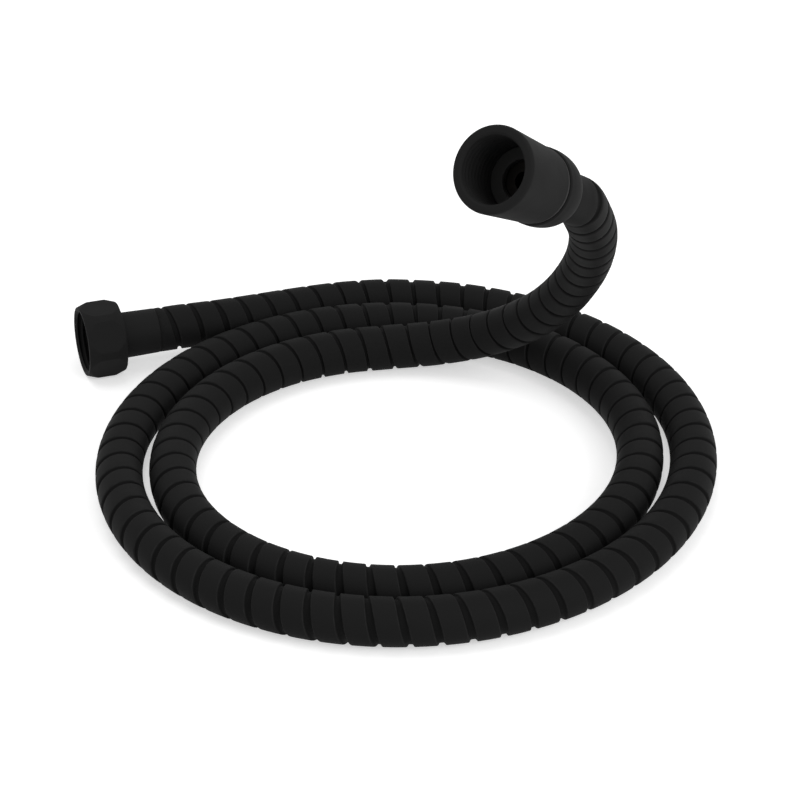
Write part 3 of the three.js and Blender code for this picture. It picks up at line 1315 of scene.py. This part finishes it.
@dataclass(frozen=True)
class TurnedFittings:
    """The pieces behind the nuts that are turned or moulded, by distance from the nut's mouth."""

    slip_ring_start: float = 24.12 * MM
    slip_ring_end: float = 25.08 * MM
    slip_ring_radius: float = 10.4 * MM
    slip_ring_fillet: float = 0.1 * MM
    collar_start: float = 25.2 * MM
    collar_end: float = 36.4 * MM
    collar_radius: float = 10.95 * MM
    collar_tail_radius: float = 7.85 * MM
    collar_round_start: float = 28.0 * MM
    collar_round_hold: float = 6.75 * MM
    collar_round_steps: int = 12
    collar_edge: float = 0.35 * MM
    collar_fillet: float = 0.14 * MM
    collar_columns: int = 128
    neck_bore: float = 6.9 * MM
    ferrule_head_radius: float = 7.25 * MM
    ferrule_taper: float = 0.5 * MM
    ferrule_fillet: float = 0.18 * MM
    ferrule_bore: float = 7.55 * MM
    hex_ferrule_head_length: float = 11.38 * MM
    cone_ferrule_head_length: float = 9.38 * MM
    ferrule_lip: float = 1.4 * MM
    ferrule_lip_bore: float = 4.9 * MM
    ferrule_inner_radius: float = 5.6 * MM
    skirt_radius: float = 6.0 * MM
    skirt_length: float = 5.0 * MM
    hose_radius: float = 7.0 * MM
    hose_step: float = 0.03 * MM
    counterbore_start: float = 28.6 * MM
    washer_radius: float = 9.015 * MM
    washer_bore: float = 5.4 * MM
    washer_thickness: float = 2.0 * MM
    washer_fillet: float = 0.3 * MM

    def collar(self, matrix: Matrix, material: bpy.types.Material) -> bpy.types.Object:
        """Makes the collar, whose shoulder rounds down towards the hose.

        Args:
            matrix: The conical end's place.
            material: The collar's finish.

        Returns:
            The new piece.
        """
        shoulder = []
        start, tail = self.collar_round_start, self.collar_end
        hold = start + self.collar_round_hold
        for step in range(self.collar_round_steps + 1):
            t = step / self.collar_round_steps
            station = start * (1 - t) ** 2 + hold * 2 * t * (1 - t) + tail * t**2
            radius = self.collar_radius * (1 - t) ** 2 + self.collar_tail_radius * t**2
            radius += (self.collar_radius - self.collar_edge) * 2 * t * (1 - t)
            shoulder.append((station, radius))
        profile = [
            (self.collar_start, self.neck_bore),
            (self.collar_start, self.collar_radius - self.collar_edge),
            (self.collar_start + self.collar_edge, self.collar_radius),
            *shoulder,
            (self.collar_end, self.ferrule_bore),
            (self.counterbore_start, self.ferrule_bore),
            (self.counterbore_start, self.neck_bore),
        ]
        fillet, columns = self.collar_fillet, self.collar_columns
        return turned_piece("round_shouldered_collar", profile, matrix, material, fillet, columns)

    def slip_ring(self, matrix: Matrix, material: bpy.types.Material) -> bpy.types.Object:
        """Makes the ring between the conical nut and the collar, sunk a little below both.

        Args:
            matrix: The conical end's place.
            material: The ring's finish.

        Returns:
            The new piece.
        """
        profile = [
            (self.slip_ring_start, self.neck_bore),
            (self.slip_ring_start, self.slip_ring_radius),
            (self.slip_ring_end, self.slip_ring_radius),
            (self.slip_ring_end, self.neck_bore),
        ]
        return turned_piece("moulded_slip_ring", profile, matrix, material, self.slip_ring_fillet)

    def ferrule(
        self, end: HoseEnd, start: float, matrix: Matrix, material: bpy.types.Material
    ) -> bpy.types.Object:
        """Makes the ferrule of one end, with its skirt inside the casing.

        Args:
            end: Which end.
            start: Where its front face lies.
            matrix: That end's place.
            material: The ferrule's finish.

        Returns:
            The new piece.
        """
        head = self.hex_ferrule_head_length if end is HoseEnd.HEX else self.cone_ferrule_head_length
        head_end = start + head
        profile = [
            (start, self.ferrule_lip_bore),
            (start, self.ferrule_head_radius),
            (head_end - self.ferrule_taper, self.hose_radius + self.hose_step),
            (head_end, self.hose_radius - self.hose_step),
            (head_end, self.skirt_radius),
            (head_end + self.skirt_length, self.skirt_radius),
            (head_end + self.skirt_length, self.ferrule_inner_radius),
            (start + self.ferrule_lip, self.ferrule_inner_radius),
            (start + self.ferrule_lip, self.ferrule_lip_bore),
        ]
        name = f"{end.value}_end_crimped_ferrule"
        return turned_piece(name, profile, matrix, material, self.ferrule_fillet)

    def washer(
        self, end: HoseEnd, back: float, matrix: Matrix, material: bpy.types.Material
    ) -> bpy.types.Object:
        """Makes the sealing washer of one end.

        Args:
            end: Which end.
            back: Where its back face lies.
            matrix: That end's place.
            material: The washer's finish.

        Returns:
            The new piece.
        """
        front = back - self.washer_thickness
        profile = [
            (front, self.washer_bore),
            (front, self.washer_radius),
            (back, self.washer_radius),
            (back, self.washer_bore),
        ]
        name = f"{end.value}_end_sealing_washer"
        return turned_piece(name, profile, matrix, material, self.washer_fillet)


# The studio


@dataclass(frozen=True)
class Softbox:
    """A square softbox that faces the hose, placed in metres."""

    name: str
    place: tuple[float, float, float]
    width: float
    watts: float
    aim_height: float = 40.0 * MM

    def build(self) -> bpy.types.Object:
        """Hangs the lamp.

        Returns:
            The lamp.
        """
        data = bpy.data.lights.new(self.name, "AREA")
        data.shape = "RECTANGLE"
        data.size = data.size_y = self.width
        data.energy = self.watts
        made = bpy.data.objects.new(self.name, data)
        made.location = self.place
        toward = Vector((0.0, 0.0, self.aim_height)) - Vector(self.place)
        made.rotation_euler = toward.to_track_quat("-Z", "Y").to_euler()
        bpy.context.scene.collection.objects.link(made)
        return made


@dataclass(frozen=True)
class Studio:
    """White paper, two softboxes and the camera at the photograph's view.

    The camera's elevation is in degrees. Its focal length, the image's width and the row that the
    aim lies on are in pixels of the photograph.
    """

    aim: tuple[float, float, float] = (4.51 * MM, -10.69 * MM, 7.0 * MM)
    distance: float = 948.0 * MM
    elevation: float = 31.305
    focal_pixels: float = 3195.0
    image_width: float = 800.0
    aim_row: float = 466.86
    sensor_width: float = 36.0
    floor_size: float = 6.0
    world_grey: float = 0.5
    softboxes: tuple[Softbox, ...] = (
        Softbox("key_softbox", (0.9, -0.9, 0.9), 0.9, 7.0),
        Softbox("top_softbox", (-0.3, 0.1, 1.5), 1.0, 5.0),
    )

    def camera(self) -> bpy.types.Object:
        """Places the camera and makes it the scene's.

        Returns:
            The camera.
        """
        data = bpy.data.cameras.new("photograph_view")
        data.sensor_width = self.sensor_width
        data.lens = self.focal_pixels / self.image_width * self.sensor_width
        data.shift_y = (self.aim_row - self.image_width / 2) / self.image_width
        made = bpy.data.objects.new("photograph_view", data)
        tilt = math.radians(self.elevation)
        back = Vector((0.0, -math.cos(tilt), math.sin(tilt))) * self.distance
        made.location = Vector(self.aim) + back
        made.rotation_euler = (math.pi / 2 - tilt, 0.0, 0.0)
        bpy.context.scene.collection.objects.link(made)
        bpy.context.scene.camera = made
        return made

    def floor(self) -> bpy.types.Object:
        """Lays the paper under the hose.

        Returns:
            The paper.
        """
        half = self.floor_size / 2
        sketch = Sketch("seamless_floor")
        corners = [(-half, -half), (half, -half), (half, half), (-half, half)]
        sketch.faces.append(tuple(sketch.ring([(x, y, 0.0) for x, y in corners])))
        made = sketch.to_object(SeamlessPaper().material(), weighted=False)
        return made

    def world(self) -> None:
        """Gives the room an even pale light, and a white backdrop to the view."""
        world = bpy.data.worlds.new("plain_room")
        world.use_nodes = True
        tree = world.node_tree
        tree.nodes.clear()
        strength = add_node(
            tree,
            "ShaderNodeMapRange",
            inputs={"Value": seen_directly(tree), "To Min": self.world_grey, "To Max": 1.0},
        ).outputs["Result"]
        room = add_node(tree, "ShaderNodeBackground", inputs={"Color": WHITE, "Strength": strength})
        add_node(tree, "ShaderNodeOutputWorld", inputs={"Surface": room.outputs[0]})
        bpy.context.scene.world = world

    def build(self) -> None:
        """Sets up the whole studio."""
        bpy.context.scene.view_settings.view_transform = "Standard"
        self.camera()
        self.world()
        self.floor()
        for softbox in self.softboxes:
            softbox.build()


# The whole hose


@dataclass
class ShowerHose:
    """The hose with both of its ends, which are given by distance from the mouths of their nuts."""

    route: HoseRoute
    hex_casing_start: float = 24.0 * MM
    cone_casing_start: float = 38.3 * MM
    hex_ferrule_start: float = 12.6 * MM
    cone_ferrule_start: float = 28.9 * MM
    hex_washer_back: float = 7.3 * MM
    cone_washer_back: float = 18.1 * MM
    path_step: float = 3.0 * MM

    def __post_init__(self) -> None:
        """Works out the centreline and the finishes."""
        self.centreline = Centreline(self.route)
        self.strip_finish = MattBlackCoat(Substrate.WOUND_STRIP).material()
        self.fitting_finish = MattBlackCoat(Substrate.TURNED_FITTING, "#202020", "#232323").material()
        self.washer_finish = MouldedRubber("moulded_epdm_rubber").material()
        self.brass_finish = BlackenedBrass().material()
        self.acetal_finish = MouldedAcetal().material()
        self.lining_finish = MouldedRubber("extruded_epdm_rubber", "#171717", "#202020", 0.7).material()

    def placement(self, end: HoseEnd) -> Placement:
        """Works out where the fitting of one end lies.

        Args:
            end: Which end.

        Returns:
            Its place.
        """
        axis = self.route.axis(end)
        back = self.hex_casing_start if end is HoseEnd.HEX else self.cone_casing_start
        return Placement(self.route.end_point(end) * MM - axis * back, axis)

    def keep(self, piece: bpy.types.Object, body: str, slot: str, *nodes: str) -> bpy.types.Object:
        """Lets a piece stand for its nodes and move with its body, and reports it.

        Args:
            piece: The finished piece.
            body: The body that it moves with.
            slot: Not used.
            nodes: The CAD nodes that it stands for.

        Returns:
            The same piece.
        """
        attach(piece, body)
        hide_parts(*nodes)
        log.info("%s: %d faces", piece.name, len(piece.data.polygons))
        return piece

    def build_casing(self) -> bpy.types.Object:
        """Makes the wound casing."""
        casing = Casing(self.centreline).build(self.strip_finish)
        return self.keep(casing, "hose", "casing_black", "hose_casing")

    def build_hex_end(self) -> list[bpy.types.Object]:
        """Makes the hexagonal nut, its washer and its ferrule.

        Returns:
            The three pieces.
        """
        placement, turned = self.placement(HoseEnd.HEX), TurnedFittings()
        matrix = placement.matrix()
        nut = HexNut(placement).build(self.fitting_finish)
        washer = turned.washer(HoseEnd.HEX, self.hex_washer_back, matrix, self.washer_finish)
        ferrule = turned.ferrule(HoseEnd.HEX, self.hex_ferrule_start, matrix, self.fitting_finish)
        return [
            self.keep(nut, "hex_nut", "fitting_black", "hex_nut"),
            self.keep(washer, "hose", "washer_rubber", "hex_end_washer"),
            self.keep(ferrule, "hose", "fitting_black", "hex_end_ferrule"),
        ]

    def build_cone_end(self) -> list[bpy.types.Object]:
        """Makes the conical nut, its slip ring, collar, washer and ferrule.

        Returns:
            The five pieces.
        """
        placement, turned = self.placement(HoseEnd.CONE), TurnedFittings()
        matrix = placement.matrix()
        nut = ConeNut(placement).build(self.fitting_finish)
        slip_ring = turned.slip_ring(matrix, self.acetal_finish)
        collar = turned.collar(matrix, self.fitting_finish)
        washer = turned.washer(HoseEnd.CONE, self.cone_washer_back, matrix, self.washer_finish)
        ferrule = turned.ferrule(HoseEnd.CONE, self.cone_ferrule_start, matrix, self.fitting_finish)
        return [
            self.keep(nut, "cone_nut", "fitting_black", "cone_nut"),
            self.keep(slip_ring, "hose", "slip_ring_plastic", "cone_slip_ring"),
            self.keep(collar, "hose", "fitting_black", "cone_collar"),
            self.keep(washer, "hose", "washer_rubber", "cone_end_washer"),
            self.keep(ferrule, "hose", "fitting_black", "cone_end_ferrule"),
        ]

    def dress_inner_nodes(self) -> list[bpy.types.Object]:
        """Gives their finishes to the inner pieces that keep their CAD shape.

        Returns:
            Those pieces.
        """
        finishes = {
            "inner_hose": self.lining_finish,
            "hex_end_insert": self.brass_finish,
            "cone_end_insert": self.brass_finish,
        }
        for name, finish in finishes.items():
            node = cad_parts[name]
            node.data.materials.clear()
            node.data.materials.append(finish)
            log.info("%s: dressed", name)
        return [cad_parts[name] for name in finishes]

    def build(self) -> None:
        casing = self.build_casing()
        ends = self.build_hex_end() + self.build_cone_end() + self.dress_inner_nodes()
        step = int(self.path_step / (self.centreline.stations[1] - self.centreline.stations[0]))
        path = [tuple(float(value) for value in point) for point in self.centreline.points[::step]]
        path[-1] = tuple(float(value) for value in self.centreline.points[-1])
        tuple(self.route.end_point(HoseEnd.CONE) * MM)
        log.info("hose: %.3f m long", self.centreline.length)


def main() -> None:
    """Builds the studio and the hose."""
    logging.basicConfig(level=logging.INFO, format="%(name)s: %(message)s")
    Studio().build()
    ShowerHose(HoseRoute()).build()


if __name__ == "__main__":
    main()
